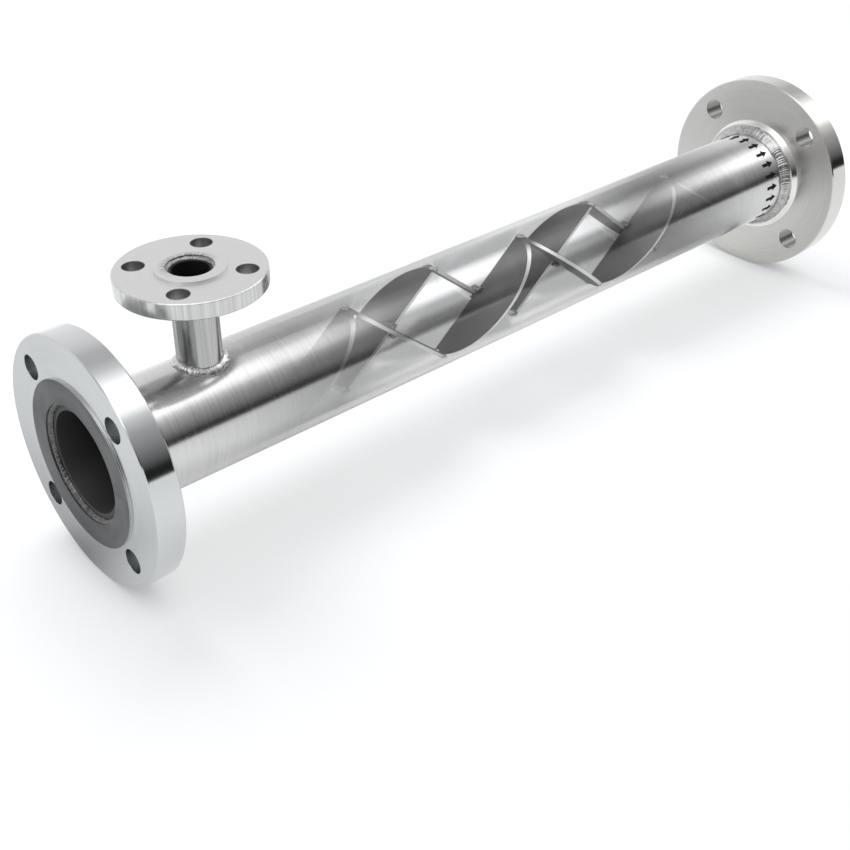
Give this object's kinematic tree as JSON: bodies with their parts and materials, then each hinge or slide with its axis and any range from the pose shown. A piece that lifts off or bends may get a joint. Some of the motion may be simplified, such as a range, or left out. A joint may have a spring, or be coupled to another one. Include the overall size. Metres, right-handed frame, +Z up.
{
  "type": "static mixer",
  "caption": "Flanged static mixer: a steel pipe with crossed half-elliptical mixing plates inside and a flanged injection branch on top.",
  "frame": {"origin": "centre of the inlet flange's raised face, on the housing's axis", "axes": "+X along the housing with the flow, from inlet to outlet; +Z up the branch; +Y completes the right-handed frame"},
  "size_m": [0.796, 0.1906, 0.2133],
  "materials": {
    "brushed_pipe": "brushed",
    "brushed_branch": "brushed",
    "turned_flange": "turned",
    "turned_branch_flange": "turned",
    "weld_bead": "as welded",
    "plate_steel": "pickled, matte"
  },
  "bodies": {
    "root": {"housing_pipe": "brushed_pipe", "inlet_flange": "turned_flange", "outlet_flange": "turned_flange", "branch_pipe": "brushed_branch", "branch_flange": "turned_branch_flange", "mixing_plate_near_1": "plate_steel", "mixing_plate_far_1": "plate_steel", "mixing_plate_near_2": "plate_steel", "mixing_plate_far_2": "plate_steel", "mixing_plate_near_3": "plate_steel", "mixing_plate_far_3": "plate_steel", "mixing_plate_near_4": "plate_steel", "mixing_plate_far_4": "plate_steel", "mixing_plate_near_5": "plate_steel", "mixing_plate_far_5": "plate_steel", "mixing_plate_near_6": "plate_steel", "mixing_plate_far_6": "plate_steel", "inlet_hub_weld": "weld_bead", "inlet_face_weld": "weld_bead", "outlet_hub_weld": "weld_bead", "outlet_face_weld": "weld_bead", "branch_saddle_weld": "weld_bead", "branch_hub_weld": "weld_bead", "branch_face_weld": "weld_bead", "crossing_welds": "weld_bead", "tip_welds": "weld_bead"}
  },
  "joints": []
}
